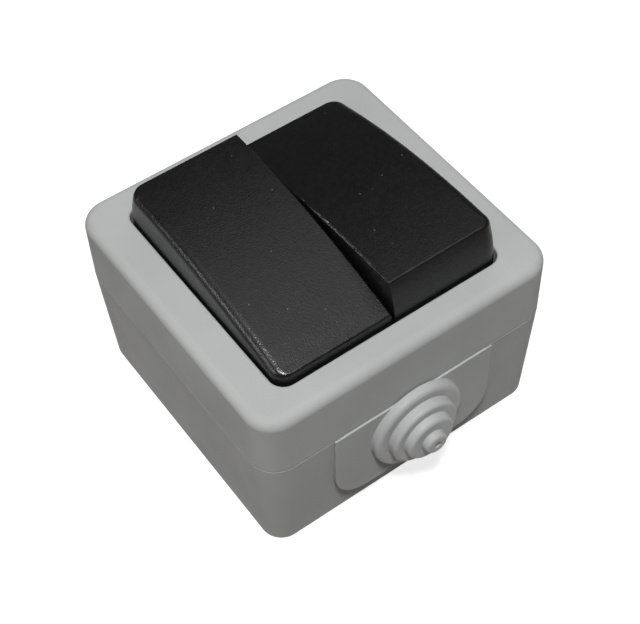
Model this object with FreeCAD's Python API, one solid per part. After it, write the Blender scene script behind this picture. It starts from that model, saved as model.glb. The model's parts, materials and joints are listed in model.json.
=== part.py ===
import FreeCAD, Part
import math
import os

# Outdoor weatherproof double rocker switch, surface mounted, lying on its back.
# X runs across the wall, Y runs up the wall with the cable entry at -Y, Z comes out of the wall.
# The origin is the centre of the rear face. All sizes are in millimetres and degrees.

# Box outline
box_width = 70.0
box_height = 68.0
corner_radius = 6.1
parting_z = 28.0
parting_gap = 0.3
cover_top_z = 43.7
wall = 2.2
floor_thickness = 2.5
base_draft = 3.0
rear_edge_radius = 0.8
top_edge_radius = 2.2
fit_gap = 0.1

# Tongue on the base rim and the sealing ring on top of it
tongue_inset = 1.2
tongue_height = 2.2
gasket_height = 1.2

# Well in the cover that holds the rockers
rim_at_sides = 8.2
rim_at_ends = 6.5
well_radius = 3.2
well_edge_radius = 0.5
collar_wall = 1.8
deck_thickness = 2.0
gusset_thickness = 1.2
gusset_spacing = 26.0

# Rockers
pivot_z = 41.1
rocker_tilt = 7.5
rocker_split = 0.8
rocker_gap = 0.4
rocker_top = 7.8
rocker_crown = 2.1
rocker_skirt = 2.5
rocker_wall = 1.6
rocker_roof = 2.0
rocker_corner_radius = 3.2
rocker_side_radius = 2.0
rocker_end_radius = 0.6
rocker_inner_radius = 0.35
rocker_rib = 1.0
rocker_rib_depth = 2.0
rocker_rib_inset = 7.5
stop_gap = 0.4

# Bearing ears on the deck and trunnions of the actuators
pin_radius = 1.5
pin_clearance = 0.05
ear_radius = 2.8
ear_thickness = 2.2
ear_foot = 10.0
ear_side_gap = 0.3
ear_mouth = 2.4

# Actuator that carries a rocker
hub_radius = 3.2
hub_width = 8.0
head_length = 24.0
head_thickness = 1.5
head_bottom = 2.6
web_thickness = 2.4
stem_width = 5.4
stem_radius = 0.8
stem_length = 15.5
stem_side_gap = 0.4
bore_depth = 11.0
clip_leg = 1.3
clip_width = 6.0
clip_hook = 0.7
clip_hook_height = 0.9

# Spring plunger
plunger_radius = 1.6
plunger_reach = 17.0
plunger_shoulder = 13.0
plunger_tail_radius = 0.8
plunger_tail = 2.0
spring_radius = 1.2
spring_wire = 0.45
spring_turns = 5.0
spring_facets = 8

# See-saw contacts
fulcrum_drop = 20.9
fulcrum_radius = 1.0
fulcrum_width = 4.6
lever_apex = 2.0
lever_width = 5.0
lever_thickness = 1.0
lever_slope = 12.0
lever_contact_arm = 9.0
lever_free_arm = 6.5
lever_saddle = 2.2
rivet_place = 7.0
rivet_radius = 1.7
rivet_head = 0.6
rivet_shank_radius = 0.8
contact_gap = 0.3

# Mechanism housing
mech_back_y = 10.5
mech_floor = 2.0
mech_wall = 1.5
mech_side_wall = 3.0
mech_corner_radius = 1.5
fulcrum_height = 10.2
chamber_front_y = -11.0
lid_thickness = 1.8
lid_rim_depth = 1.2
lid_rim = 1.0
lid_partition = 1.4
lug_inset = 8.0
lug_reach = 4.5
lug_radius = 3.2
lug_height = 10.0
lug_thickness = 3.0

# Terminals
terminal_width = 7.5
terminal_depth = 6.5
terminal_height = 11.0
terminal_gap = 0.25
terminal_wall = 1.0
wire_bore_radius = 1.8
wire_bore_height = 4.0
wire_funnel_radius = 2.4
strip_thickness = 1.5
strip_width = 5.0
tongue_thickness = 1.2
tongue_reach = 7.2

# Screws
screw_radius = 1.45
screw_clearance = 0.15
screw_bite = 0.05
screw_head_radius = 2.7
screw_head_height = 2.0
cross_length = 3.0
cross_width = 0.7
cross_depth = 1.0
terminal_screw_length = 5.5
cover_screw_length = 15.0
mech_screw_length = 11.0
cover_screw_inset_x = 4.2
cover_screw_inset_y = 3.5
cover_post_radius = 3.3
cover_boss_radius = 3.8
cover_counterbore = 3.0
mech_post_radius = 3.2
post_rib = 1.2

# Flexible seal around the stems
seal_thickness = 1.4
seal_margin = 7.75
seal_height = 18.6
seal_radius = 2.0
seal_collar = 0.8
seal_collar_height = 1.2

# Cable entry
notch_half_width = 18.1
notch_drop = 11.5
notch_radius = 6.7
insert_lap = 1.3
insert_proud = 0.4
insert_inner_flange = 2.4
insert_panel = 3.0
entry_z = 18.7
entry_bore_radius = 8.2
plate_edge = 0.15
grommet_rear_lap = 1.2
grommet_rear = 1.2
grommet_wall = 1.0
grommet_dimple_radius = 0.9
grommet_dimple_depth = 0.4

# Disc and three rings of the grommet, each as step in, taper, rise and round; the disc steps out past its bore
grommet_disc = (-2.7, 0.2, 2.0, 1.2)
grommet_rings = ((2.6, 0.2, 2.1, 0.8), (2.1, 0.3, 1.8, 0.9), (2.75, 0.25, 1.7, 0.8))

# Wall fixing slots and the rear knock-out
slot_inset = 10.0
slot_width = 4.2
slot_length = 8.0
slot_rim = 1.6
slot_rim_height = 1.5
knockout_margin = 4.5
knockout_radius = 6.5
knockout_groove = 0.9
knockout_depth = 0.9

# Heights and places worked out from the sizes above
base_rim_z = parting_z - parting_gap / 2
cover_edge_z = parting_z + parting_gap / 2
tongue_top_z = base_rim_z + tongue_height
gasket_top_z = tongue_top_z + gasket_height
cover_seat_z = parting_z
well_width = box_width - 2 * rim_at_sides
well_height = box_height - 2 * rim_at_ends
cover_screw_x = well_width / 2 - cover_screw_inset_x
cover_screw_y = well_height / 2 - cover_screw_inset_y
cover_screw_places = ((-cover_screw_x, -cover_screw_y), (cover_screw_x, cover_screw_y))
slot_y = box_height / 2 - slot_inset
knockout_y = slot_y - slot_length / 2 - knockout_radius - knockout_margin
end_radius = well_height / 2 - rocker_gap
deck_drop = (rocker_skirt * math.cos(math.radians(rocker_tilt))
             + end_radius * math.sin(math.radians(rocker_tilt)))
deck_top_z = pivot_z - deck_drop - stop_gap
deck_bottom_z = deck_top_z - deck_thickness
rocker_outer_x = well_width / 2 - rocker_gap
rocker_inner_x = rocker_split / 2
rocker_pitch = rocker_outer_x + rocker_inner_x
rocker_rib_place = end_radius - rocker_rib_inset
fulcrum_z = pivot_z - fulcrum_drop
lug_place = box_width / 2 - lug_inset
mech_width = 2 * (lug_place - lug_reach)
chamber_width = mech_width - 2 * mech_side_wall
mech_bottom_z = fulcrum_z - fulcrum_height
lug_z = mech_bottom_z + lug_height
lid_top_z = deck_bottom_z - seal_thickness
mech_top_z = lid_top_z - lid_thickness
chamber_floor_z = mech_bottom_z + mech_floor
terminal_places = (-rocker_pitch / 2, 0.0, rocker_pitch / 2)
wire_z = chamber_floor_z + wire_bore_height
terminal_top_z = chamber_floor_z + terminal_height
terminal_back_y = chamber_front_y - terminal_wall - terminal_gap
terminal_front_y = terminal_back_y - terminal_depth
mech_front_y = terminal_front_y - terminal_gap - terminal_wall
plate_face_y = -(box_height / 2 + insert_proud)
notch_bottom_z = entry_z - notch_drop

X_AXIS = FreeCAD.Vector(1, 0, 0)
Y_AXIS = FreeCAD.Vector(0, 1, 0)
Z_AXIS = FreeCAD.Vector(0, 0, 1)


def vec(x, y, z):
    return FreeCAD.Vector(x, y, z)


def sin_deg(angle):
    return math.sin(math.radians(angle))


def cos_deg(angle):
    return math.cos(math.radians(angle))


def tan_deg(angle):
    return math.tan(math.radians(angle))


def block(low, high):
    """Box between two opposite corners."""
    size = high.sub(low)
    return Part.makeBox(size.x, size.y, size.z, low)


def cylinder_x(radius, half_length, y=0.0, z=0.0, x=0.0):
    return Part.makeCylinder(radius, 2 * half_length, vec(x - half_length, y, z), X_AXIS)


def cylinder_y(radius, y_low, y_high, x, z):
    return Part.makeCylinder(radius, y_high - y_low, vec(x, y_low, z), Y_AXIS)


def cylinder_z(radius, z_low, z_high, x=0.0, y=0.0):
    return Part.makeCylinder(radius, z_high - z_low, vec(x, y, z_low), Z_AXIS)


def corner_arc(cx, cy, z, radius, start):
    """Quarter arc of a rounded rectangle, from the start angle on."""
    points = []
    for step in (0, 45, 90):
        angle = start + step
        points.append(vec(cx + radius * cos_deg(angle), cy + radius * sin_deg(angle), z))
    return Part.Arc(*points).toShape()


def rounded_wire(half_x, half_y, radius, z, x=0.0, y=0.0):
    """Closed rounded rectangle in a level plane, centred on x and y."""
    corners = ((1, 1, 0), (-1, 1, 90), (-1, -1, 180), (1, -1, 270))
    arcs = []
    for sx, sy, start in corners:
        arcs.append(corner_arc(x + sx * (half_x - radius), y + sy * (half_y - radius), z, radius, start))
    edges = []
    for index, arc in enumerate(arcs):
        edges.append(arc)
        following = arcs[(index + 1) % 4]
        edges.append(Part.makeLine(arc.Vertexes[-1].Point, following.Vertexes[0].Point))
    return Part.Wire(edges)


def rounded_prism(half_x, half_y, radius, z_low, z_high, x=0.0, y=0.0):
    face = Part.Face(rounded_wire(half_x, half_y, radius, z_low, x, y))
    return face.extrude(vec(0, 0, z_high - z_low))


def box_ring(inset_outer, inset_inner, z_low, z_high):
    """Upright ring that follows the box outline between two insets."""
    outer = box_prism(inset_outer, z_low, z_high)
    return outer.cut(box_prism(inset_inner, z_low, z_high))


def box_prism(inset, z_low, z_high):
    """Upright prism of the box outline, drawn in by the inset."""
    return rounded_prism(box_width / 2 - inset, box_height / 2 - inset, corner_radius - inset, z_low, z_high)


def drafted_prism(inset, z_low, z_high):
    """The base's tapered outline, drawn in by the inset: it narrows towards the wall."""
    wires = []
    for z in (z_low, z_high):
        total = inset + (base_rim_z - z) * tan_deg(base_draft)
        wires.append(rounded_wire(box_width / 2 - total, box_height / 2 - total, corner_radius - total, z))
    return Part.makeLoft(wires, True, True)


def slot_prism(width, length, z_low, z_high, x, y):
    """Slot with round ends that runs along Y."""
    straight = (length - width) / 2
    shape = block(vec(x - width / 2, y - straight, z_low), vec(x + width / 2, y + straight, z_high))
    for side in (-1, 1):
        shape = shape.fuse(cylinder_z(width / 2, z_low, z_high, x, y + side * straight))
    return shape.removeSplitter()


def u_prism(half_width, bottom, top, radius, y_low, y_high):
    """U-shaped prism through the lower wall: straight sides and two round bottom corners."""
    left = vec(-half_width + radius, y_low, bottom + radius)
    right = vec(half_width - radius, y_low, bottom + radius)
    slant = radius * sin_deg(45)
    arc_left = Part.Arc(vec(-half_width, y_low, left.z), vec(left.x - slant, y_low, left.z - slant),
                        vec(left.x, y_low, bottom)).toShape()
    arc_right = Part.Arc(vec(right.x, y_low, bottom), vec(right.x + slant, y_low, right.z - slant),
                         vec(half_width, y_low, right.z)).toShape()
    edges = [Part.makeLine(vec(-half_width, y_low, top), vec(-half_width, y_low, left.z)), arc_left,
             Part.makeLine(vec(left.x, y_low, bottom), vec(right.x, y_low, bottom)), arc_right,
             Part.makeLine(vec(half_width, y_low, right.z), vec(half_width, y_low, top)),
             Part.makeLine(vec(half_width, y_low, top), vec(-half_width, y_low, top))]
    return Part.Face(Part.Wire(edges)).extrude(vec(0, y_high - y_low, 0))


def turned(profile):
    """Solid turned about the Z axis from (radius, height) points."""
    points = [vec(radius, 0, height) for radius, height in profile]
    points.append(points[0])
    return Part.Face(Part.makePolygon(points)).revolve(vec(0, 0, 0), Z_AXIS, 360)


def placed(solid, position, direction=Z_AXIS):
    """Moves a turned solid to its place, with its axis along the given direction."""
    solid.Placement = FreeCAD.Placement(position, FreeCAD.Rotation(Z_AXIS, direction))
    return solid


def edges_where(shape, test):
    """Edges whose middle point passes the test."""
    chosen = []
    for edge in shape.Edges:
        middle = edge.valueAt((edge.FirstParameter + edge.LastParameter) / 2)
        if test(edge, middle):
            chosen.append(edge)
    return chosen


def tilted(shape, angle, x=0.0, z=pivot_z):
    """Turned about an axle that runs along X at the given place."""
    copy = shape.copy()
    copy.rotate(vec(x, 0, z), X_AXIS, angle)
    return copy


def mirrored(shape):
    """The left-hand piece of a pair, from its right-hand twin."""
    return shape.mirror(vec(0, 0, 0), X_AXIS)


def joined(shapes):
    result = shapes[0].fuse(shapes[1:])
    return result.removeSplitter()


# Base box

def screw_post(radius, x, y, top_z, toward_x, toward_y):
    """Round post on the floor, with a rib that ties it to the nearest wall."""
    post = cylinder_z(radius, floor_thickness, top_z, x, y)
    half = post_rib / 2
    reach_x = x + toward_x
    reach_y = y + toward_y
    low = vec(min(x, reach_x) - half, min(y, reach_y) - half, floor_thickness)
    high = vec(max(x, reach_x) + half, max(y, reach_y) + half, top_z - wall)
    return post.fuse(block(low, high))


def wall_slot_rims():
    rims = []
    for side in (-1, 1):
        rims.append(slot_prism(slot_width + 2 * slot_rim, slot_length + 2 * slot_rim, floor_thickness,
                               floor_thickness + slot_rim_height, 0, side * slot_y))
    return rims


def base_box():
    """Drafted tub with a sealing tongue, screw posts, wall slots and a notch for the cable entry."""
    outer = drafted_prism(0, 0, base_rim_z)
    rear_edges = edges_where(outer, lambda edge, middle: middle.z < 0.01)
    outer = outer.makeFillet(rear_edge_radius, rear_edges)
    shell = outer.cut(drafted_prism(wall, floor_thickness, base_rim_z))
    shell = shell.fuse(box_ring(tongue_inset, wall, base_rim_z - fit_gap, tongue_top_z))
    inside = []
    for x, y in cover_screw_places:
        side = math.copysign(1.0, y)
        inside.append(screw_post(cover_post_radius, x, y, cover_seat_z, 0, side * (box_height / 2 - abs(y))))
    for side in (-1, 1):
        inside.append(screw_post(mech_post_radius, side * lug_place, 0, lug_z,
                                 side * (box_width / 2 - lug_place), 0))
    inside += wall_slot_rims()
    keep = drafted_prism(wall / 2, floor_thickness / 2, cover_seat_z)
    shell = shell.fuse([piece.common(keep) for piece in inside])
    shell = shell.cut(u_prism(notch_half_width, notch_bottom_z, tongue_top_z + wall, notch_radius,
                              -box_height / 2 - wall, -box_height / 2 + 2 * wall))
    for x, y in cover_screw_places:
        shell = shell.cut(pilot_bore(x, y, cover_seat_z, cover_screw_length - cover_counterbore_web()))
    for side in (-1, 1):
        shell = shell.cut(pilot_bore(side * lug_place, 0, lug_z, mech_screw_length - lug_thickness))
        shell = shell.cut(slot_prism(slot_width, slot_length, -1, floor_thickness + 2 * slot_rim_height,
                                     0, side * slot_y))
    groove = cylinder_z(knockout_radius, 0, knockout_depth, 0, knockout_y)
    groove = groove.cut(cylinder_z(knockout_radius - knockout_groove, 0, knockout_depth, 0, knockout_y))
    return shell.cut(groove).removeSplitter()


def cover_counterbore_web():
    """Thickness of the cover's boss under the screw head."""
    return deck_top_z - cover_counterbore - cover_seat_z


def pilot_bore(x, y, top_z, depth):
    return cylinder_z(screw_radius + screw_bite, top_z - depth - screw_head_height / 2, top_z, x, y)


# Sealing ring and cover

def cover_gasket():
    """Soft ring that the cover squeezes onto the base's tongue."""
    return box_ring(tongue_inset + screw_bite, wall - screw_bite, tongue_top_z, gasket_top_z)


def stem_window(depth_below_pivot, clearance):
    """Half size along Y of a window that clears the swinging stem at a depth."""
    return stem_width / 2 * cos_deg(rocker_tilt) + depth_below_pivot * sin_deg(rocker_tilt) + clearance


def deck_window_half():
    half_x = stem_width / 2 + stem_side_gap + seal_collar + fit_gap
    half_y = seal_window_half_y() + seal_collar + fit_gap
    return half_x, half_y


def seal_window_half_y():
    return stem_window(pivot_z - lid_top_z, stem_side_gap)


def bearing_ear(x_low):
    """Ear with a round bearing and a narrow snap-in mouth at its top."""
    foot = ear_foot / 2
    deck = deck_top_z - deck_thickness / 2
    outline = [vec(x_low, -foot, deck), vec(x_low, foot, deck), vec(x_low, ear_radius, pivot_z),
               vec(x_low, -ear_radius, pivot_z), vec(x_low, -foot, deck)]
    ear = Part.Face(Part.makePolygon(outline)).extrude(vec(ear_thickness, 0, 0))
    middle = x_low + ear_thickness / 2
    ear = ear.fuse(cylinder_x(ear_radius, ear_thickness / 2, 0, pivot_z, middle))
    ear = ear.cut(cylinder_x(pin_radius + pin_clearance, ear_thickness, 0, pivot_z, middle))
    mouth = block(vec(x_low - 1, -ear_mouth / 2, pivot_z), vec(x_low + ear_thickness + 1, ear_mouth / 2,
                                                               pivot_z + 2 * ear_radius))
    return ear.cut(mouth)


def bearing_ears():
    ears = []
    for centre in (-rocker_pitch / 2, rocker_pitch / 2):
        half = hub_width / 2 + ear_side_gap
        ears.append(bearing_ear(centre + half))
        ears.append(bearing_ear(centre - half - ear_thickness))
    return ears


def cover_gussets():
    """Ribs under the cover's face, between the collar and the outer wall."""
    ribs = []
    half = gusset_thickness / 2
    for shift in (-gusset_spacing / 2, gusset_spacing / 2):
        for side in (-1, 1):
            inner = side * (well_width / 2 + collar_wall / 2)
            outer = side * (box_width / 2 - wall / 2)
            ribs.append(block(vec(min(inner, outer), shift - half, gasket_top_z),
                              vec(max(inner, outer), shift + half, cover_top_z - wall)))
            inner = side * (well_height / 2 + collar_wall / 2)
            outer = side * (box_height / 2 - wall / 2)
            ribs.append(block(vec(shift - half, min(inner, outer), gasket_top_z),
                              vec(shift + half, max(inner, outer), cover_top_z - wall)))
    return ribs


def cover_frame():
    """Cover with a rounded edge, a deep well for the rockers and a deck with bearing ears."""
    outer = box_prism(0, cover_edge_z, cover_top_z)
    outer = outer.makeFillet(top_edge_radius, edges_where(outer, lambda edge, middle: middle.z > cover_top_z - 0.01))
    cover = outer.cut(box_prism(wall, gasket_top_z, cover_top_z - wall))
    cover = cover.cut(box_prism(tongue_inset - 1.5 * fit_gap, cover_edge_z, gasket_top_z))
    collar = rounded_prism(well_width / 2 + collar_wall, well_height / 2 + collar_wall,
                           well_radius + collar_wall, deck_bottom_z, cover_top_z - wall / 2)
    bosses = [cylinder_z(cover_boss_radius, cover_seat_z, deck_top_z, x, y) for x, y in cover_screw_places]
    cover = cover.fuse([collar] + bosses + cover_gussets())
    cover = cover.cut(rounded_prism(well_width / 2, well_height / 2, well_radius, deck_top_z, cover_top_z + 1))
    mouth = edges_where(cover, lambda edge, middle: middle.z > cover_top_z - 0.01
                        and abs(middle.x) < well_width / 2 + 0.01 and abs(middle.y) < well_height / 2 + 0.01)
    cover = cover.makeFillet(well_edge_radius, mouth)
    cover = cover.fuse(bearing_ears())
    half_x, half_y = deck_window_half()
    for centre in (-rocker_pitch / 2, rocker_pitch / 2):
        cover = cover.cut(rounded_prism(half_x, half_y, stem_radius, deck_bottom_z - 1, deck_top_z + 1, centre))
    for x, y in cover_screw_places:
        cover = cover.cut(cylinder_z(screw_radius + screw_clearance, cover_seat_z - 1, deck_top_z + 1, x, y))
        cover = cover.cut(cylinder_z(screw_head_radius + 2 * screw_clearance, deck_top_z - cover_counterbore,
                                     deck_top_z + 1, x, y))
    return cover.removeSplitter()


# Cable entry

def cable_entry_insert():
    """Plate that slides into the notch, gripping the wall between an outer and an inner flange."""
    lap = notch_half_width + insert_lap
    low = notch_bottom_z - insert_lap
    radius = notch_radius + insert_lap
    back_y = -(box_height / 2 - wall - insert_inner_flange)
    outer = u_prism(lap, low, base_rim_z, radius, plate_face_y, -box_height / 2 + wall)
    outer = outer.cut(drafted_prism(-fit_gap, -1, base_rim_z + 1))
    inner = u_prism(lap, low, base_rim_z, radius, -box_height / 2, back_y)
    inner = inner.common(drafted_prism(wall + fit_gap, 0, base_rim_z))
    web = u_prism(notch_half_width - fit_gap, notch_bottom_z + fit_gap, base_rim_z, notch_radius,
                  plate_face_y, back_y)
    tongue = block(vec(-notch_half_width + fit_gap, -box_height / 2 + tongue_inset, base_rim_z - 1),
                   vec(notch_half_width - fit_gap, -box_height / 2 + wall, tongue_top_z))
    plate = joined([outer, inner, web, tongue])
    pocket_radius = entry_bore_radius + grommet_rear_lap + 2 * fit_gap
    plate = plate.cut(cylinder_y(pocket_radius, plate_face_y + insert_panel, back_y + 1, 0, entry_z))
    plate = plate.cut(cylinder_y(entry_bore_radius, plate_face_y - 1, back_y + 1, 0, entry_z))
    rim = edges_where(plate, lambda edge, middle: abs(middle.y - plate_face_y) < 0.01
                      and math.hypot(middle.x, middle.z - entry_z) > entry_bore_radius + 1
                      and middle.z < base_rim_z - 0.01)
    return plate.makeFillet(plate_edge, rim)


def grommet_tiers():
    """Base radius, front radius, base height, front height and round of the disc and of each ring on it."""
    tiers = []
    front = entry_bore_radius
    high = 0.0
    for step_in, taper, rise, edge_round in (grommet_disc,) + grommet_rings:
        base = front - step_in
        front = base - taper
        low = high
        high = low + rise
        tiers.append((base, front, low, high, edge_round))
    return tiers


def cable_grommet():
    """Soft stepped membrane, clipped into the plate's bore and closed at its tip until it is pierced."""
    tiers = grommet_tiers()
    neck = entry_bore_radius - screw_bite
    flange = entry_bore_radius + grommet_rear_lap
    rear = -insert_panel - grommet_rear
    face = tiers[-1][3]
    tip = face - grommet_dimple_depth
    profile = [(neck - grommet_wall, rear), (flange, rear), (flange, -insert_panel), (neck, -insert_panel), (neck, 0)]
    for base, front, low, high, _ in tiers:
        profile += [(base, low), (front, high)]
    profile += [(grommet_dimple_radius, face), (grommet_dimple_radius, tip), (0, tip)]
    hollow = []
    for base, front, low, high, _ in tiers[1:]:
        hollow += [(base - grommet_wall, low - grommet_wall), (front - grommet_wall, high - grommet_wall)]
    hollow[0] = (neck - grommet_wall, hollow[0][1])
    hollow[-1] = (hollow[-1][0], tip - grommet_wall)
    hollow.append((0, tip - grommet_wall))
    solid = turned(profile + hollow[::-1])
    for _, front, _, high, edge_round in tiers:
        solid = solid.makeFillet(edge_round, circles_at(solid, front, high))
    return placed(solid, vec(0, plate_face_y, entry_z), vec(0, -1, 0))


def circles_at(shape, radius, height):
    """Edges of a turned solid at one radius and height."""
    return edges_where(shape, lambda edge, middle: abs(middle.z - height) < 0.01
                       and abs(math.hypot(middle.x, middle.y) - radius) < 0.01)


# Seal and mechanism

def rocker_seal():
    """Soft sheet between the deck and the mechanism, with an upstanding lip round each stem."""
    sheet = rounded_prism(rocker_pitch / 2 + seal_margin, seal_height / 2, seal_radius, lid_top_z, deck_bottom_z)
    half_x = stem_width / 2 + stem_side_gap
    half_y = seal_window_half_y()
    for centre in (-rocker_pitch / 2, rocker_pitch / 2):
        sheet = sheet.fuse(rounded_prism(half_x + seal_collar, half_y + seal_collar, stem_radius,
                                         lid_top_z, deck_bottom_z + seal_collar_height, centre))
        sheet = sheet.cut(rounded_prism(half_x, half_y, stem_radius / 2, lid_top_z - 1,
                                        deck_top_z, centre))
    return sheet.removeSplitter()


def mechanism_outline(half_x, y_low, y_high):
    return rounded_prism(half_x, (y_high - y_low) / 2, mech_corner_radius, mech_bottom_z, mech_top_z,
                         0, (y_high + y_low) / 2)


def mechanism_body():
    """Open moulded tray with a contact chamber, three terminal pockets and two fixing lugs."""
    terminals_x = rocker_pitch / 2 + terminal_width / 2 + terminal_gap + terminal_wall
    body = mechanism_outline(mech_width / 2, chamber_front_y - terminal_wall, mech_back_y)
    body = body.fuse(mechanism_outline(terminals_x, mech_front_y, chamber_front_y + mech_corner_radius))
    for side in (-1, 1):
        lug = cylinder_z(lug_radius, lug_z, lug_z + lug_thickness, side * lug_place, 0)
        arm_low = vec(min(side * lug_place, side * mech_width / 2 - side), -lug_radius, lug_z)
        arm_high = vec(max(side * lug_place, side * mech_width / 2 - side), lug_radius, lug_z + lug_thickness)
        body = body.fuse([lug, block(arm_low, arm_high)])
        body = body.cut(cylinder_z(screw_radius + screw_clearance, lug_z - 1, lug_z + lug_thickness + 1,
                                   side * lug_place, 0))
    body = body.cut(block(vec(-chamber_width / 2, chamber_front_y, chamber_floor_z),
                          vec(chamber_width / 2, mech_back_y - mech_wall, mech_top_z + 1)))
    half = terminal_width / 2 + terminal_gap
    for x in terminal_places:
        body = body.cut(block(vec(x - half, terminal_front_y - terminal_gap, chamber_floor_z),
                              vec(x + half, terminal_back_y + terminal_gap, mech_top_z + 1)))
        passage_z = chamber_floor_z if x == 0.0 else fixed_tongue_z() - terminal_gap
        passage = strip_width / 2 + terminal_gap
        body = body.cut(block(vec(x - passage, terminal_back_y, passage_z),
                              vec(x + passage, chamber_front_y + 1, mech_top_z + 1)))
        body = body.cut(cylinder_y(wire_funnel_radius, mech_front_y - 1, terminal_front_y + 1, x, wire_z))
    return body.removeSplitter()


def mechanism_lid():
    """Lid over the contact chamber, with stem windows, a locating rim and a partition."""
    front = chamber_front_y - terminal_wall + fit_gap
    back = mech_back_y - fit_gap
    half_y = (back - front) / 2
    middle_y = (back + front) / 2
    lid = rounded_prism(mech_width / 2 - fit_gap, half_y, mech_corner_radius, mech_top_z, lid_top_z, 0, middle_y)
    rim_x = chamber_width / 2 - fit_gap
    rim_low = chamber_front_y + fit_gap
    rim_high = mech_back_y - mech_wall - fit_gap
    rim = block(vec(-rim_x, rim_low, mech_top_z - lid_rim_depth), vec(rim_x, rim_high, mech_top_z))
    rim = rim.cut(block(vec(-rim_x + lid_rim, rim_low + lid_rim, mech_top_z - lid_rim_depth - 1),
                        vec(rim_x - lid_rim, rim_high - lid_rim, mech_top_z + 1)))
    partition = block(vec(-lid_partition / 2, rim_low, chamber_floor_z + strip_thickness + 10 * fit_gap),
                      vec(lid_partition / 2, rim_high, mech_top_z))
    lid = lid.fuse([rim, partition])
    half_x = stem_width / 2 + stem_side_gap
    window_y = stem_window(pivot_z - mech_top_z, stem_side_gap)
    for centre in (-rocker_pitch / 2, rocker_pitch / 2):
        lid = lid.cut(rounded_prism(half_x, window_y, stem_radius / 2, mech_top_z - 1, lid_top_z + 1, centre))
    return lid.removeSplitter()


# Terminals and contacts

def contact_point():
    """Middle of the moving rivet's face, measured from the fulcrum with the lever level."""
    face = lever_thickness + rivet_head
    y = -rivet_place - face * sin_deg(lever_slope)
    z = lever_apex + rivet_place * tan_deg(lever_slope) - face * cos_deg(lever_slope)
    return y, z


def closed_contact_place():
    """Where the moving rivet's face is when the circuit is closed."""
    y, z = contact_point()
    return (y * cos_deg(rocker_tilt) - z * sin_deg(rocker_tilt),
            fulcrum_z + y * sin_deg(rocker_tilt) + z * cos_deg(rocker_tilt))


def fixed_tongue_z():
    """Underside of the strip that carries a fixed contact."""
    return closed_contact_place()[1] - contact_gap - rivet_head - tongue_thickness


def terminal_block(x):
    """Brass clamp block with a wire bore along Y and a screw hole from above."""
    body = block(vec(x - terminal_width / 2, terminal_front_y, chamber_floor_z),
                 vec(x + terminal_width / 2, terminal_back_y, terminal_top_z))
    body = body.cut(cylinder_y(wire_bore_radius, terminal_front_y - 1, terminal_back_y + 1, x, wire_z))
    middle_y = (terminal_front_y + terminal_back_y) / 2
    return body.cut(cylinder_z(screw_radius + screw_bite, wire_z, terminal_top_z + 1, x, middle_y))


def common_terminal():
    """Clamp block with a strip and a crossbar that carries the two fulcrum posts."""
    half = strip_width / 2
    top = chamber_floor_z + strip_thickness
    strip = block(vec(-half, terminal_back_y - 1, chamber_floor_z), vec(half, half, top))
    reach = rocker_pitch / 2 + fulcrum_width / 2
    bar = block(vec(-reach, -half, chamber_floor_z), vec(reach, half, top))
    pieces = [terminal_block(0.0), strip, bar]
    for centre in (-rocker_pitch / 2, rocker_pitch / 2):
        pieces.append(block(vec(centre - fulcrum_width / 2, -fulcrum_radius, chamber_floor_z),
                            vec(centre + fulcrum_width / 2, fulcrum_radius, fulcrum_z)))
        pieces.append(cylinder_x(fulcrum_radius, fulcrum_width / 2, 0, fulcrum_z, centre))
    return joined(pieces)


def switched_terminal(x):
    """Clamp block with the tongue that carries one fixed contact."""
    low = fixed_tongue_z()
    tongue = block(vec(x - strip_width / 2, terminal_back_y - 1, low),
                   vec(x + strip_width / 2, terminal_back_y + tongue_reach, low + tongue_thickness))
    shape = joined([terminal_block(x), tongue])
    rivet_y = closed_contact_place()[0]
    return shape.cut(cylinder_z(rivet_shank_radius + screw_bite, low - 1, low + tongue_thickness + 1, x, rivet_y))


def contact_rivet(shank):
    """Rivet with its shank up and its chamfered contact face at the origin."""
    edge = rivet_head / 3
    return [(0, 0), (rivet_radius - edge, 0), (rivet_radius, edge), (rivet_radius, rivet_head),
            (rivet_shank_radius, rivet_head), (rivet_shank_radius, rivet_head + shank), (0, rivet_head + shank)]


def fixed_contact_rivets():
    y, z = closed_contact_place()
    rivets = []
    for x in (-rocker_pitch / 2, rocker_pitch / 2):
        rivets.append(placed(turned(contact_rivet(tongue_thickness)), vec(x, y, z - contact_gap), vec(0, 0, -1)))
    return Part.makeCompound(rivets)


def contact_lever():
    """Shallow V-shaped see-saw with a saddle that rides on the fulcrum, drawn level."""
    drop = lever_thickness / cos_deg(lever_slope)
    slope = tan_deg(lever_slope)
    x = rocker_pitch / 2 - lever_width / 2
    front = -lever_contact_arm
    back = lever_free_arm
    saddle_z = fulcrum_radius / 4
    under = lever_apex - drop
    outline = [(front, lever_apex - front * slope), (0, lever_apex), (back, lever_apex + back * slope),
               (back, under + back * slope), (lever_saddle, under + lever_saddle * slope),
               (lever_saddle, saddle_z), (-lever_saddle, saddle_z), (-lever_saddle, under + lever_saddle * slope),
               (front, under - front * slope)]
    points = [vec(x, y, fulcrum_z + z) for y, z in outline]
    points.append(points[0])
    lever = Part.Face(Part.makePolygon(points)).extrude(vec(lever_width, 0, 0))
    lever = lever.cut(cylinder_x(fulcrum_radius + pin_clearance, lever_width, 0, fulcrum_z, rocker_pitch / 2))
    hole = cylinder_z(rivet_shank_radius + screw_bite, -rivet_head, 3 * lever_thickness)
    return lever.cut(placed(hole, rivet_position(), rivet_direction()))


def rivet_position():
    y, z = contact_point()
    return vec(rocker_pitch / 2, y, fulcrum_z + z)


def rivet_direction():
    return vec(0, sin_deg(lever_slope), cos_deg(lever_slope))


def lever_rivet():
    return placed(turned(contact_rivet(lever_thickness)), rivet_position(), rivet_direction())


# Screws

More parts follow.
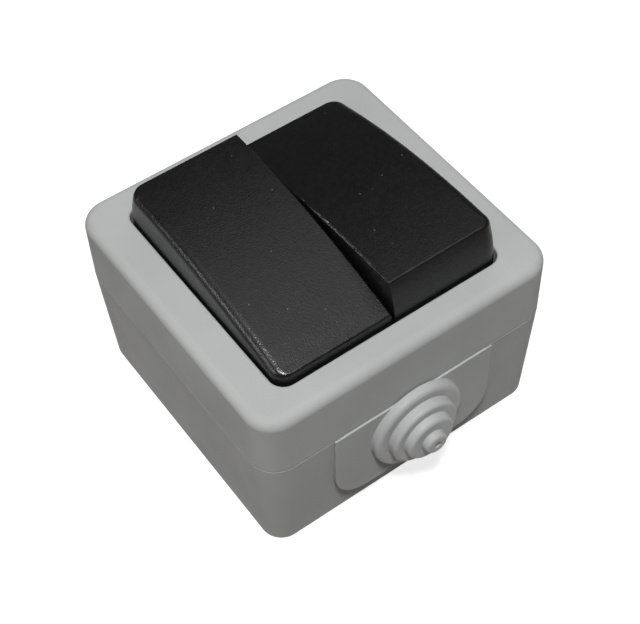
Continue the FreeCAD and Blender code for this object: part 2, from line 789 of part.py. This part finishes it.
def pan_screw(length, x, y, seat_z):
    """Cross-recessed pan-head screw, with its head seated at the given height."""
    edge = screw_head_height / 4
    profile = [(0, -length), (screw_radius / 2, -length), (screw_radius, -length + screw_radius),
               (screw_radius, 0), (screw_head_radius, 0), (screw_head_radius, screw_head_height - 2 * edge),
               (screw_head_radius - edge, screw_head_height), (0, screw_head_height)]
    screw = placed(turned(profile), vec(x, y, seat_z))
    top = seat_z + screw_head_height
    for size_x, size_y in ((cross_length, cross_width), (cross_width, cross_length)):
        screw = screw.cut(block(vec(x - size_x / 2, y - size_y / 2, top - cross_depth),
                                vec(x + size_x / 2, y + size_y / 2, top + 1)))
    return screw


def terminal_screws():
    y = (terminal_front_y + terminal_back_y) / 2
    return Part.makeCompound([pan_screw(terminal_screw_length, x, y, terminal_top_z) for x in terminal_places])


def cover_screws():
    seat = deck_top_z - cover_counterbore
    return Part.makeCompound([pan_screw(cover_screw_length, x, y, seat) for x, y in cover_screw_places])


def mechanism_screws():
    seat = lug_z + lug_thickness
    return Part.makeCompound([pan_screw(mech_screw_length, side * lug_place, 0, seat) for side in (-1, 1)])


# Rocker, drawn level for the right-hand side

def crown_radius():
    """Radius of the rocker's crowned top, from its rise over its length."""
    half = math.sqrt(end_radius ** 2 - rocker_top ** 2)
    return (half ** 2 + rocker_crown ** 2) / (2 * rocker_crown)


def rocker_form(inset, roof, bottom):
    """Rocker drawn in by the inset: ends on an arc about the pivot, crowned top, round outer corners."""
    reach = end_radius - inset
    crown = crown_radius() - roof
    centre_z = pivot_z + rocker_top + rocker_crown - crown_radius()
    lift = pivot_z - centre_z
    rise = (crown ** 2 - reach ** 2 + lift ** 2) / (2 * lift)
    top_y = math.sqrt(crown ** 2 - rise ** 2)
    low_y = math.sqrt(reach ** 2 - bottom ** 2)
    x = rocker_inner_x + inset
    near_top = vec(x, -top_y, centre_z + rise)
    far_top = vec(x, top_y, centre_z + rise)
    near_foot = vec(x, -low_y, pivot_z - bottom)
    far_foot = vec(x, low_y, pivot_z - bottom)
    outline = [Part.Arc(near_foot, vec(x, -reach, pivot_z), near_top).toShape(),
               Part.Arc(near_top, vec(x, 0, centre_z + crown), far_top).toShape(),
               Part.Arc(far_top, vec(x, reach, pivot_z), far_foot).toShape(),
               Part.makeLine(far_foot, near_foot)]
    outer_x = rocker_outer_x - inset
    solid = Part.Face(Part.Wire(outline)).extrude(vec(outer_x - x, 0, 0))
    corners = edges_where(solid, lambda edge, middle: middle.x > outer_x - 0.01 and abs(middle.y) > reach / 2)
    return solid.makeFillet(rocker_corner_radius - inset, corners)


def rounded_rocker():
    """Outer form of the rocker: a wide round on its outer side that runs out into small ones at the ends.

    The radii of each edge are given in the order of the whole chain, from the lower end to the upper one.
    """
    form = rocker_form(0, 0, rocker_skirt)
    top_low = pivot_z + rocker_top / 2
    rounds = []
    for number, edge in enumerate(form.Edges, 1):
        first = edge.valueAt(edge.FirstParameter)
        last = edge.valueAt(edge.LastParameter)
        if min(first.z, last.z) < top_low:
            continue
        radii = []
        for point in sorted((first, last), key=lambda end: end.y):
            if point.x > rocker_outer_x - 0.01:
                radii.append(rocker_side_radius)
            elif max(first.x, last.x) > rocker_inner_x + 0.1:
                radii.append(rocker_end_radius)
            else:
                radii.append(rocker_inner_radius)
        rounds.append((number, radii[0], radii[1]))
    return filleted(form, rounds)


def filleted(shape, rounds):
    """Rounds several edges at once, each with a radius at its start and one at its end."""
    document = FreeCAD.newDocument("rounding")
    base = document.addObject("Part::Feature", "base")
    base.Shape = shape
    feature = document.addObject("Part::Fillet", "fillet")
    feature.Base = base
    feature.Edges = rounds
    document.recompute()
    result = feature.Shape.copy()
    FreeCAD.closeDocument(document.Name)
    return result


def rocker():
    """Hollow rocker cap with stiffening ribs, bearing pads and two clip legs for its actuator."""
    shell = rounded_rocker()
    shell = shell.cut(rocker_form(rocker_wall, rocker_roof, 2 * rocker_skirt))
    centre = rocker_pitch / 2
    inside = rocker_form(rocker_wall / 2, rocker_roof / 2, 2 * rocker_skirt)
    extras = []
    roof_z = pivot_z + rocker_top
    for y in (-rocker_rib_place, rocker_rib_place):
        extras.append(block(vec(rocker_inner_x, y - rocker_rib / 2, roof_z - rocker_roof - rocker_rib_depth),
                            vec(rocker_outer_x, y + rocker_rib / 2, roof_z)))
    head_top = pivot_z + head_bottom + head_thickness
    for side in (-1, 1):
        pad_x = centre + side * (hub_width / 2 - rocker_rib)
        extras.append(block(vec(pad_x - rocker_rib / 2, -head_length / 2, head_top),
                            vec(pad_x + rocker_rib / 2, head_length / 2, roof_z)))
        extras += clip_leg_blocks(side, centre, roof_z)
    return joined([shell] + [piece.common(inside) for piece in extras])


def clip_leg_blocks(side, centre, roof_z):
    """Leg that grips one end of the actuator's head, with its hook."""
    inner = head_length / 2 + fit_gap
    hook_top = pivot_z + head_bottom - fit_gap
    hook_low = hook_top - clip_hook_height
    legs = []
    for y_low, y_high, top in ((inner, inner + clip_leg, roof_z), (inner - clip_hook, inner + clip_leg, hook_top)):
        legs.append(block(vec(centre - clip_width / 2, min(side * y_low, side * y_high), hook_low),
                          vec(centre + clip_width / 2, max(side * y_low, side * y_high), top)))
    return legs


# Actuator, plunger and spring, drawn level for the right-hand side

def actuator():
    """Hub with trunnions, a head that the rocker clips onto and a hollow stem for the plunger."""
    centre = rocker_pitch / 2
    pin_half = hub_width / 2 + ear_side_gap + ear_thickness - ear_side_gap
    hub = cylinder_x(hub_radius, hub_width / 2, 0, pivot_z, centre)
    pins = cylinder_x(pin_radius, pin_half, 0, pivot_z, centre)
    head_z = pivot_z + head_bottom
    head = block(vec(centre - hub_width / 2, -head_length / 2, head_z),
                 vec(centre + hub_width / 2, head_length / 2, head_z + head_thickness))
    gusset = [vec(0, -head_length / 3, head_z), vec(0, head_length / 3, head_z),
              vec(0, hub_radius * 0.7, pivot_z - hub_radius * 0.7),
              vec(0, -hub_radius * 0.7, pivot_z - hub_radius * 0.7), vec(0, -head_length / 3, head_z)]
    web = Part.Face(Part.makePolygon(gusset)).extrude(vec(web_thickness, 0, 0))
    web.translate(vec(centre - web_thickness / 2, 0, 0))
    stem = rounded_prism(stem_width / 2, stem_width / 2, stem_radius, pivot_z - stem_length, pivot_z, centre)
    shape = joined([hub, pins, head, web, stem])
    bore = cylinder_z(plunger_radius + pin_clearance, pivot_z - stem_length - 1,
                      pivot_z - stem_length + bore_depth, centre)
    return shape.cut(bore)


def plunger():
    """Round-nosed pin with a thin tail that centres the spring."""
    nose = []
    for step in range(7):
        angle = -90 + 15 * step
        nose.append((plunger_radius * cos_deg(angle), -plunger_reach + plunger_radius * sin_deg(angle)))
    nose[0] = (0, nose[0][1])
    profile = nose + [(plunger_radius, -plunger_shoulder), (plunger_tail_radius, -plunger_shoulder),
                      (plunger_tail_radius, -plunger_shoulder + plunger_tail),
                      (0, -plunger_shoulder + plunger_tail)]
    return placed(turned(profile), vec(rocker_pitch / 2, 0, pivot_z))


def spring():
    """Compression spring between the plunger's shoulder and the end of the stem's bore."""
    low = pivot_z - plunger_shoulder + spring_wire / 2 + pin_clearance
    high = pivot_z - stem_length + bore_depth - spring_wire / 2 - pin_clearance
    helix = Part.makeHelix((high - low) / spring_turns, high - low, spring_radius)
    corners = []
    for step in range(spring_facets + 1):
        angle = 360 * (step % spring_facets) / spring_facets
        corners.append(vec(spring_radius + spring_wire / 2 * cos_deg(angle), 0, spring_wire / 2 * sin_deg(angle)))
    coil = Part.Wire(helix.Edges).makePipeShell([Part.makePolygon(corners)], True, True)
    coil.translate(vec(rocker_pitch / 2, 0, low))
    return coil


# Nodes: the right rocker rests with its lower end out, the left one with its lower end pressed

def build_nodes():
    nodes = {
        "base_box": base_box(),
        "cover_gasket": cover_gasket(),
        "cover_frame": cover_frame(),
        "cable_entry_insert": cable_entry_insert(),
        "cable_grommet": cable_grommet(),
        "rocker_seal": rocker_seal(),
        "mechanism_body": mechanism_body(),
        "mechanism_lid": mechanism_lid(),
        "common_terminal": common_terminal(),
        "left_terminal": switched_terminal(-rocker_pitch / 2),
        "right_terminal": switched_terminal(rocker_pitch / 2),
        "fixed_contact_rivets": fixed_contact_rivets(),
        "terminal_screws": terminal_screws(),
        "cover_screws": cover_screws(),
        "mechanism_screws": mechanism_screws(),
    }
    swinging = {"rocker": rocker(), "actuator": actuator(), "plunger": plunger(), "plunger_spring": spring()}
    seesaw = {"contact_lever": contact_lever(), "lever_rivet": lever_rivet()}
    for side, angle in (("right", -rocker_tilt), ("left", rocker_tilt)):
        for name, shape in swinging.items():
            piece = shape if side == "right" else mirrored(shape)
            nodes[side + "_" + name] = tilted(piece, angle)
        for name, shape in seesaw.items():
            piece = shape if side == "right" else mirrored(shape)
            nodes[side + "_" + name] = tilted(piece, -angle, 0.0, fulcrum_z)
    return nodes


os.makedirs("parts", exist_ok=True)
for node_name, node_shape in build_nodes().items():
    node_shape.exportStep("parts/" + node_name + ".step")
    print(node_name, "solids", len(node_shape.Solids), "valid", node_shape.isValid(),
          "volume", round(node_shape.Volume, 1))
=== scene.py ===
import bpy
import json
import math
from mathutils import Matrix, Vector

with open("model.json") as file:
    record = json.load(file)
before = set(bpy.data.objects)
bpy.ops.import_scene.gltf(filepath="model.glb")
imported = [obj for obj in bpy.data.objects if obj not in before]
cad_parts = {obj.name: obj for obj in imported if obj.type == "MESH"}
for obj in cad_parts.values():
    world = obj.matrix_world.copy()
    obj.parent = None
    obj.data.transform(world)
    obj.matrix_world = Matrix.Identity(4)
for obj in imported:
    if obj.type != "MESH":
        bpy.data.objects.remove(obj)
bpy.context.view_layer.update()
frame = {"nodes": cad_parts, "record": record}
nodes = frame["nodes"]

# Camera of the photograph, fitted to the object's edges: angles in degrees, the place in millimetres along the
# camera's own right, up and back axes, the lens, centre and width of the picture in pixels, the sensor's width in
# millimetres and the clipping distances in metres
AZIMUTH, ELEVATION, ROLL = -34.09, 52.19, -2.29
CAMERA_PLACE_MM = (1.081, 11.246, 328.366)
LENS_PX = 1477.18
CENTRE_PX = (1.48, 0.09)
IMAGE_WIDTH = 640
SENSOR_WIDTH = 36
CLIP_START, CLIP_END = 0.01, 20
MM_PER_METRE = 1000

# Colours, in linear values
WHITE = (1.0, 1.0, 1.0)
HOUSING_GREY = (0.425, 0.438, 0.434)
GROMMET_GREY = (0.435, 0.44, 0.444)
ROCKER_DARK = (0.0055, 0.0055, 0.0057)
ROCKER_PALE = (0.0095, 0.0095, 0.0098)
DUST = (0.16, 0.16, 0.155)
SEAL_BLACK = (0.02, 0.02, 0.02)
FLOOR_SHADE = (0.40, 0.385, 0.375)
FLOOR_BOUNCE = (0.215, 0.20, 0.19)
SIDE_TINT = (1.0, 0.94, 0.91)

# Range in which most values of a noise lie
NOISE_LOW, NOISE_HIGH = 0.3, 0.7

# How much stronger the entry plate's grain is than the housing's
PLATE_GRAIN = 1.4

# Floor: its reach and its depth below the object, and the distances from the origin between which its glow rises
# and its mirror image in the object fades out, all in metres, with the glow's strength near the object and far away
FLOOR_REACH = 6.0
FLOOR_DROP = 0.00005
GLOW_FROM, GLOW_TO = 0.2, 1.0
GLOW_NEAR, GLOW_FAR = 0.78, 1.0
MIRROR_FROM, MIRROR_TO = 0.07, 0.16

# World: strengths for diffuse light and for reflections, and where on a unit sphere they change, by its height and,
# for the back end of the ceiling, by its Y
SIDE_LIGHT, TOP_LIGHT = 0.018, 0.05
AMBIENT_FROM, AMBIENT_TO = 0.05, 0.75
HORIZON_GLOSS, ROOM_GLOSS, CEILING_GLOSS = 0.12, 0.03, 0.88
HORIZON_TOP = 0.14
CEILING_FROM, CEILING_TO = 0.70, 0.86
CEILING_BACK_FROM, CEILING_BACK_TO = 0.38, 0.46

# Lamps, in metres and watts. They aim at the middle of the object unless they say otherwise. The fills from behind
# and from the right don't show in reflections, and the strip shows in nothing else.
MIDDLE = (0, 0, 0.03)
LAMPS = {
    "main": dict(place=(-0.14, -0.23, 0.70), size=(0.10, 0.10), power=5.1),
    "left_fill": dict(place=(-0.55, 0.14, 0.23), size=(0.34, 0.14), power=0.55, color=(1.0, 0.97, 0.94)),
    "back_fill": dict(place=(0.48, 0.48, 0.16), size=(0.4, 0.3), power=1.6, glossy=False),
    "right_fill": dict(place=(0.28, -0.11, 0.07), size=(0.08, 0.08), power=0.075, color=(1.0, 0.96, 0.98),
                       glossy=False),
    "side_strip": dict(place=(-0.52, 0.13, 0.28), target=(0, 0, 0.045), size=(0.28, 0.08), power=0.4,
                       diffuse=False),
}


def make_camera():
    azimuth, elevation, roll = (math.radians(angle) for angle in (AZIMUTH, ELEVATION, ROLL))
    level = math.cos(elevation)
    back = Vector((math.sin(azimuth) * level, -math.cos(azimuth) * level, math.sin(elevation)))
    right = Vector((0, 0, 1)).cross(back).normalized()
    up = back.cross(right)
    right, up = (math.cos(roll) * right + math.sin(roll) * up,
                 math.cos(roll) * up - math.sin(roll) * right)
    axes = (right, up, back)
    place = sum((axis * step for axis, step in zip(axes, CAMERA_PLACE_MM)), Vector()) / MM_PER_METRE
    data = bpy.data.cameras.new("camera")
    data.sensor_width = SENSOR_WIDTH
    data.lens = SENSOR_WIDTH * LENS_PX / IMAGE_WIDTH
    data.shift_x = -CENTRE_PX[0] / IMAGE_WIDTH
    data.shift_y = CENTRE_PX[1] / IMAGE_WIDTH
    data.clip_start, data.clip_end = CLIP_START, CLIP_END
    camera = bpy.data.objects.new("camera", data)
    bpy.context.scene.collection.objects.link(camera)
    rows = [[axis[row] for axis in axes] + [place[row]] for row in range(3)]
    camera.matrix_world = Matrix(rows + [[0, 0, 0, 1]])
    bpy.context.scene.camera = camera


def area_light(name, place, size, power, color=WHITE, target=MIDDLE, glossy=True, diffuse=True):
    data = bpy.data.lights.new(name, "AREA")
    data.shape = "RECTANGLE"
    data.size, data.size_y = size
    data.energy = power
    data.color = color
    light = bpy.data.objects.new(name, data)
    bpy.context.scene.collection.objects.link(light)
    light.location = place
    light.rotation_euler = (Vector(target) - Vector(place)).to_track_quat("-Z", "Y").to_euler()
    light.visible_glossy = glossy
    light.visible_diffuse = diffuse


class Nodes:
    """A node tree that is put together in a few lines."""

    def __init__(self, owner):
        owner.use_nodes = True
        self.tree = owner.node_tree
        self.tree.nodes.clear()

    def add(self, kind, **values):
        node = self.tree.nodes.new(kind)
        for key, value in values.items():
            setattr(node, key, value)
        return node

    def feed(self, socket, value):
        """Gives a socket a number or a colour, or links it to another socket."""
        if isinstance(value, float):
            socket.default_value = value
        elif isinstance(value, tuple):
            socket.default_value = value + (1.0,)
        else:
            self.tree.links.new(value, socket)

    def combine(self, operation, first, second):
        node = self.add("ShaderNodeMath", operation=operation)
        self.feed(node.inputs[0], first)
        self.feed(node.inputs[1], second)
        return node.outputs[0]

    def ramp(self, source, low, high, out_low, out_high, curve="LINEAR"):
        node = self.add("ShaderNodeMapRange", interpolation_type=curve)
        for key, value in (("Value", source), ("From Min", low), ("From Max", high),
                           ("To Min", out_low), ("To Max", out_high)):
            self.feed(node.inputs[key], value)
        return node.outputs["Result"]

    def mix(self, factor, first, second):
        """Mixes two colours, from the first at factor 0 to the second at factor 1."""
        node = self.add("ShaderNodeMix", data_type="RGBA")
        self.feed(node.inputs["Factor"], factor)
        for socket, value in zip((s for s in node.inputs if s.type == "RGBA"), (first, second)):
            self.feed(socket, value)
        return next(s for s in node.outputs if s.type == "RGBA")


class Shader(Nodes):
    """A material whose patterns lie in the object's own coordinates, with scales in patterns per metre."""

    def __init__(self, name):
        self.material = bpy.data.materials.new(name)
        super().__init__(self.material)
        self.output = self.add("ShaderNodeOutputMaterial")
        self.coords = self.add("ShaderNodeTexCoord").outputs["Object"]

    def noise(self, scale, detail, roughness=0.5):
        node = self.add("ShaderNodeTexNoise")
        for key, value in (("Scale", scale), ("Detail", detail), ("Roughness", roughness)):
            node.inputs[key].default_value = value
        self.feed(node.inputs["Vector"], self.coords)
        return node.outputs["Fac"]

    def cells(self, scale):
        node = self.add("ShaderNodeTexVoronoi")
        node.inputs["Scale"].default_value = scale
        self.feed(node.inputs["Vector"], self.coords)
        return node.outputs["Distance"]

    def drift(self, scale, detail, low, high):
        """A value that drifts between low and high over the surface."""
        return self.ramp(self.noise(scale, detail), NOISE_LOW, NOISE_HIGH, low, high)

    def bump(self, height, strength, distance, under=None):
        node = self.add("ShaderNodeBump")
        node.inputs["Strength"].default_value = strength
        node.inputs["Distance"].default_value = distance
        self.feed(node.inputs["Height"], height)
        if under is not None:
            self.feed(node.inputs["Normal"], under)
        return node.outputs["Normal"]

    def surface(self, color, roughness, normal, **constants):
        shader = self.add("ShaderNodeBsdfPrincipled")
        for key, value in (("Base Color", color), ("Roughness", roughness), ("Normal", normal)):
            self.feed(shader.inputs[key], value)
        for key, value in constants.items():
            shader.inputs[key.replace("_", " ")].default_value = value
        self.feed(self.output.inputs["Surface"], shader.outputs["BSDF"])
        return self.material


def shade(color, factor):
    return tuple(channel * factor for channel in color)


def grey_plastic(name, color, grain=1.0):
    """Matt moulded plastic: fine eroded grain, faint flow marks and a slight change of gloss."""
    s = Shader(name)
    dark, light = shade(color, 0.955), shade(color, 1.035)
    flow_marks = s.ramp(s.noise(scale=55, detail=3), 0.35, 0.65, 0.0, 1.0)
    specks = s.drift(scale=2600, detail=2, low=0.0, high=0.25)
    tone = s.mix(specks, s.mix(flow_marks, dark, light), dark)
    roughness = s.drift(scale=140, detail=3, low=0.60, high=0.70)
    eroded = s.bump(s.noise(scale=3600, detail=3, roughness=0.6), strength=0.10 * grain, distance=0.00006)
    normal = s.bump(s.noise(scale=90, detail=2), strength=0.05, distance=0.0006, under=eroded)
    return s.surface(tone, roughness, normal, Specular_IOR_Level=0.14)


def rocker_plastic(name):
    """Charcoal plastic with a spark-eroded grain and a few pale specks of dust."""
    s = Shader(name)
    mottle = s.ramp(s.noise(scale=900, detail=4, roughness=0.65), 0.35, 0.68, 0.0, 1.0)
    specks = s.ramp(s.cells(scale=330), 0.03, 0.06, 1.0, 0.0)
    few_places = s.ramp(s.noise(scale=110, detail=1), 0.52, 0.56, 0.0, 0.9)
    tone = s.mix(s.combine("MULTIPLY", specks, few_places), s.mix(mottle, ROCKER_DARK, ROCKER_PALE), DUST)
    roughness = s.drift(scale=240, detail=3, low=0.27, high=0.33)
    grain = s.mix(0.45, s.noise(scale=2500, detail=2, roughness=0.55), s.cells(scale=3400))
    normal = s.bump(grain, strength=0.5, distance=0.00014)
    return s.surface(tone, roughness, normal, Specular_IOR_Level=0.5)


def soft_rubber(name, color, smoothest, roughest):
    """Dull rubber with a soft, even grain."""
    s = Shader(name)
    tone = s.mix(s.drift(scale=160, detail=3, low=0.0, high=1.0), shade(color, 0.93), color)
    roughness = s.drift(scale=500, detail=3, low=smoothest, high=roughest)
    normal = s.bump(s.noise(scale=2200, detail=3), strength=0.12, distance=0.00008)
    return s.surface(tone, roughness, normal, Specular_IOR_Level=0.28)


def inner_plastic(name, color):
    """Smooth moulded plastic of the pieces inside."""
    s = Shader(name)
    tone = s.mix(s.drift(scale=120, detail=3, low=0.0, high=1.0), shade(color, 0.94), color)
    roughness = s.drift(scale=300, detail=2, low=0.36, high=0.46)
    normal = s.bump(s.noise(scale=1800, detail=3), strength=0.08, distance=0.00006)
    return s.surface(tone, roughness, normal)


def metal(name, color, smoothest, roughest, squeeze=(1, 1, 1)):
    """Bright metal with fine drawn or turned lines across the axis along which the pattern is squeezed."""
    s = Shader(name)
    scaled = s.add("ShaderNodeMapping")
    scaled.inputs["Scale"].default_value = squeeze
    s.feed(scaled.inputs["Vector"], s.coords)
    s.coords = scaled.outputs["Vector"]
    lines = s.noise(scale=2400, detail=4, roughness=0.6)
    tone = s.mix(s.drift(scale=300, detail=3, low=0.0, high=1.0), shade(color, 0.86), color)
    roughness = s.ramp(lines, NOISE_LOW, NOISE_HIGH, smoothest, roughest)
    normal = s.bump(lines, strength=0.08, distance=0.00004)
    return s.surface(tone, roughness, normal, Metallic=1.0)


def make_materials():
    """One material for each material slot of the record."""
    return {
        "housing": grey_plastic("housing_grey", HOUSING_GREY),
        "entry_plate": grey_plastic("plate_grey", HOUSING_GREY, PLATE_GRAIN),
        "grommet": soft_rubber("grommet_grey", GROMMET_GREY, 0.46, 0.58),
        "rockers": rocker_plastic("rocker_charcoal"),
        "seal": soft_rubber("seal_black", SEAL_BLACK, 0.55, 0.7),
        "mechanism": inner_plastic("mechanism_white", (0.72, 0.70, 0.62)),
        "actuators": inner_plastic("actuator_white", (0.78, 0.78, 0.73)),
        "plungers": inner_plastic("plunger_natural", (0.60, 0.57, 0.45)),
        "springs": metal("spring_steel", (0.55, 0.55, 0.57), 0.18, 0.3, (1, 1, 6)),
        "terminals": metal("terminal_brass", (0.78, 0.56, 0.25), 0.22, 0.36, (1, 5, 1)),
        "levers": metal("lever_bronze", (0.72, 0.48, 0.27), 0.22, 0.36, (5, 1, 1)),
        "contacts": metal("contact_silver", (0.82, 0.82, 0.81), 0.15, 0.28),
        "screws": metal("screw_zinc", (0.68, 0.69, 0.71), 0.2, 0.34, (1, 1, 4)),
    }


def dress(materials):
    slots = {row["node"]: row["material_slot"] for row in frame["record"]["subparts"]}
    for name, piece in nodes.items():
        piece.data.materials.clear()
        piece.data.materials.append(materials[slots[name]])


def floor_material():
    """White to the camera, with the object's shadow, and a grey that returns some light to the object.

    Reflections see the white floor only close to the object, and the grey one further away.
    """
    s = Shader("floor_white")
    shadowed, bounce = s.add("ShaderNodeBsdfDiffuse"), s.add("ShaderNodeBsdfDiffuse")
    s.feed(shadowed.inputs["Color"], FLOOR_SHADE)
    s.feed(bounce.inputs["Color"], FLOOR_BOUNCE)
    glow = s.add("ShaderNodeEmission")
    s.feed(glow.inputs["Color"], WHITE)
    length = s.add("ShaderNodeVectorMath", operation="LENGTH")
    s.feed(length.inputs[0], s.coords)
    away = length.outputs["Value"]
    s.feed(glow.inputs["Strength"], s.ramp(away, GLOW_FROM, GLOW_TO, GLOW_NEAR, GLOW_FAR))
    white = s.add("ShaderNodeAddShader")
    s.feed(white.inputs[0], shadowed.outputs["BSDF"])
    s.feed(white.inputs[1], glow.outputs["Emission"])
    rays = s.add("ShaderNodeLightPath").outputs
    near = s.ramp(away, MIRROR_FROM, MIRROR_TO, 1.0, 0.0)
    mirrored = s.combine("MULTIPLY", rays["Is Glossy Ray"], near)
    seen = s.combine("MAXIMUM", rays["Is Camera Ray"], rays["Is Transmission Ray"])
    pick = s.add("ShaderNodeMixShader")
    s.feed(pick.inputs["Fac"], s.combine("MAXIMUM", seen, mirrored))
    s.feed(pick.inputs[1], bounce.outputs["BSDF"])
    s.feed(pick.inputs[2], white.outputs["Shader"])
    s.feed(s.output.inputs["Surface"], pick.outputs["Shader"])
    return s.material


def white_floor():
    mesh = bpy.data.meshes.new("floor")
    corners = [(-1, -1), (1, -1), (1, 1), (-1, 1)]
    mesh.from_pydata([(x * FLOOR_REACH, y * FLOOR_REACH, 0) for x, y in corners], [], [(0, 1, 2, 3)])
    floor = bpy.data.objects.new("floor", mesh)
    bpy.context.scene.collection.objects.link(floor)
    floor.location.z = -FLOOR_DROP
    mesh.materials.append(floor_material())


def studio_world():
    """White to the camera and dim to the object; reflections see a dim horizon, a dark room and a pale ceiling.

    The ceiling ends behind the object, which gives the pressed rocker its gradient.
    """
    world = bpy.data.worlds.new("studio")
    w = Nodes(world)
    rays = w.add("ShaderNodeLightPath").outputs
    split = w.add("ShaderNodeSeparateXYZ")
    w.feed(split.inputs["Vector"], w.add("ShaderNodeTexCoord").outputs["Generated"])
    back, height = split.outputs["Y"], split.outputs["Z"]

    def step(source, low, high, out_low, out_high):
        return w.ramp(source, low, high, out_low, out_high, "SMOOTHSTEP")

    horizon = step(height, 0.0, HORIZON_TOP, HORIZON_GLOSS, ROOM_GLOSS)
    ceiling = w.combine("MULTIPLY", step(height, CEILING_FROM, CEILING_TO, 0.0, CEILING_GLOSS),
                        step(back, CEILING_BACK_FROM, CEILING_BACK_TO, 1.0, 0.0))
    glossy = w.combine("MULTIPLY", rays["Is Glossy Ray"], w.combine("ADD", horizon, ceiling))
    seen = w.combine("MAXIMUM", rays["Is Camera Ray"], rays["Is Transmission Ray"])
    ambient = w.combine("MULTIPLY", rays["Is Diffuse Ray"],
                        step(height, AMBIENT_FROM, AMBIENT_TO, SIDE_LIGHT, TOP_LIGHT))
    background = w.add("ShaderNodeBackground")
    w.feed(background.inputs["Color"], w.mix(rays["Is Diffuse Ray"], WHITE, SIDE_TINT))
    w.feed(background.inputs["Strength"], w.combine("MAXIMUM", w.combine("MAXIMUM", seen, glossy), ambient))
    output = w.add("ShaderNodeOutputWorld")
    w.feed(output.inputs["Surface"], background.outputs["Background"])
    bpy.context.scene.world = world


make_camera()
bpy.context.scene.view_settings.view_transform = "Standard"
dress(make_materials())
white_floor()
studio_world()
for lamp, values in LAMPS.items():
    area_light(lamp, **values)
